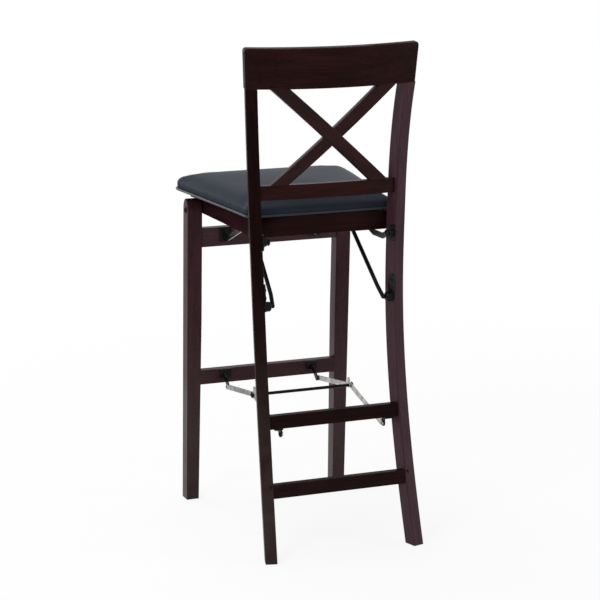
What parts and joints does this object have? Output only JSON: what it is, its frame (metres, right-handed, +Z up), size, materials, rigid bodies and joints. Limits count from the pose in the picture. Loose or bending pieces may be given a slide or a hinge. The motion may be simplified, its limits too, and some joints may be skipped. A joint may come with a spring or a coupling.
{
  "type": "folding bar stool",
  "caption": "Folding bar stool with a padded seat, a crossed-slat back, a hinged front leg frame and folding metal braces.",
  "frame": {"origin": "on the floor, in the middle of the box that the open stool fills", "axes": "+Z up, -Y the side a sitter faces, +X the sitter's left"},
  "size_m": [0.4146, 0.5446, 1.0825],
  "materials": {
    "espresso_wood": "satin espresso stain",
    "black_vinyl": "soft black vinyl",
    "seat_ply": "raw plywood",
    "black_steel": "satin black paint",
    "zinc_steel": "zinc plated",
    "blackened_fastener": "black oxide"
  },
  "bodies": {
    "back_frame": {"rear_post_left": "espresso_wood", "rear_post_right": "espresso_wood", "crest_rail": "espresso_wood", "lower_back_rail": "espresso_wood", "cross_slat_outer": "espresso_wood", "cross_slat_inner": "espresso_wood", "rear_stretcher_upper": "espresso_wood", "rear_stretcher_lower": "espresso_wood", "arm_bracket_left": "black_steel", "arm_bracket_right": "black_steel", "strut_bracket_left": "black_steel", "strut_bracket_right": "black_steel", "rear_link_bracket_left": "black_steel", "rear_link_bracket_right": "black_steel", "strut_bracket_screws": "blackened_fastener", "arm_pins": "blackened_fastener", "rear_link_pins": "blackened_fastener"},
    "arm_left": {"seat_arm_left": "black_steel"},
    "arm_right": {"seat_arm_right": "black_steel"},
    "seat": {"seat_side_rail_left": "espresso_wood", "seat_side_rail_right": "espresso_wood", "seat_front_rail": "espresso_wood", "seat_rear_rail": "espresso_wood", "seat_board": "seat_ply", "seat_cushion": "black_vinyl", "slide_channel_left": "black_steel", "slide_channel_right": "black_steel", "leg_bolts": "blackened_fastener", "seat_pins": "blackened_fastener"},
    "front_frame": {"front_leg_left": "espresso_wood", "front_leg_right": "espresso_wood", "front_apron": "espresso_wood", "foot_rail": "espresso_wood", "stay_bracket_left": "black_steel", "stay_bracket_right": "black_steel", "foot_bracket_left": "black_steel", "foot_bracket_right": "black_steel", "front_bracket_screws": "blackened_fastener", "stay_pins": "blackened_fastener", "foot_link_pins": "blackened_fastener"},
    "strut_left": {"strut_left": "black_steel"},
    "strut_right": {"strut_right": "black_steel"},
    "stay_left": {"stay_left": "zinc_steel"},
    "stay_right": {"stay_right": "zinc_steel"},
    "front_links": {"front_knee_link_left": "zinc_steel", "front_knee_link_right": "zinc_steel", "cross_rod": "black_steel"},
    "rear_link_left": {"rear_knee_link_left": "zinc_steel", "knee_cap_left": "blackened_fastener"},
    "rear_link_right": {"rear_knee_link_right": "zinc_steel", "knee_cap_right": "blackened_fastener"}
  },
  "joints": [
    {"name": "arm_fold", "type": "hinge", "parent": "back_frame", "child": "arm_left", "pos_m": [0, 0.1745, 0.673], "axis": [-1, 0, 0], "range_deg": [0, 65.48]},
    {"name": "arm_right_fold", "type": "hinge", "parent": "back_frame", "child": "arm_right", "pos_m": [0, 0.1745, 0.673], "axis": [-1, 0, 0], "range_deg": [0, 65.48]},
    {"name": "seat_tip", "type": "hinge", "parent": "arm_left", "child": "seat", "pos_m": [0, -0.0199, 0.699], "axis": [1, 0, 0], "range_deg": [0, 155.49]},
    {"name": "front_frame_fold", "type": "hinge", "parent": "seat", "child": "front_frame", "pos_m": [0, -0.1995, 0.69], "axis": [-1, 0, 0], "range_deg": [0, 84.94]},
    {"name": "strut_left_swing", "type": "hinge", "parent": "back_frame", "child": "strut_left", "pos_m": [0, 0.1745, 0.535], "axis": [-1, 0, 0], "range_deg": [0, 37.21]},
    {"name": "strut_right_swing", "type": "hinge", "parent": "back_frame", "child": "strut_right", "pos_m": [0, 0.1745, 0.535], "axis": [-1, 0, 0], "range_deg": [0, 37.21]},
    {"name": "stay_left_swing", "type": "hinge", "parent": "front_frame", "child": "stay_left", "pos_m": [0, -0.178, 0.622], "axis": [1, 0, 0], "range_deg": [0, 71.75]},
    {"name": "stay_right_swing", "type": "hinge", "parent": "front_frame", "child": "stay_right", "pos_m": [0, -0.178, 0.622], "axis": [1, 0, 0], "range_deg": [0, 71.75]},
    {"name": "front_knee_fold", "type": "hinge", "parent": "front_frame", "child": "front_links", "pos_m": [0, -0.1835, 0.276], "axis": [-1, 0, 0], "range_deg": [0, 101.25]},
    {"name": "rear_knee_left_fold", "type": "hinge", "parent": "back_frame", "child": "rear_link_left", "pos_m": [0, 0.1915, 0.26], "axis": [1, 0, 0], "range_deg": [0, 101.37]},
    {"name": "rear_knee_right_fold", "type": "hinge", "parent": "back_frame", "child": "rear_link_right", "pos_m": [0, 0.1915, 0.26], "axis": [1, 0, 0], "range_deg": [0, 101.37]}
  ],
  "couplings": [
    {"joint": "arm_right_fold", "follows": "arm_fold", "ratio": 1},
    {"joint": "seat_tip", "follows": "arm_fold", "ratio": 2.3745},
    {"joint": "front_frame_fold", "follows": "arm_fold", "ratio": 1.297},
    {"joint": "strut_left_swing", "follows": "arm_fold", "ratio": 0.56811},
    {"joint": "strut_right_swing", "follows": "arm_fold", "ratio": 0.56811},
    {"joint": "stay_left_swing", "follows": "arm_fold", "ratio": 1.0956},
    {"joint": "stay_right_swing", "follows": "arm_fold", "ratio": 1.0956},
    {"joint": "front_knee_fold", "follows": "arm_fold", "ratio": 1.5461},
    {"joint": "rear_knee_left_fold", "follows": "arm_fold", "ratio": 1.548},
    {"joint": "rear_knee_right_fold", "follows": "arm_fold", "ratio": 1.548}
  ]
}
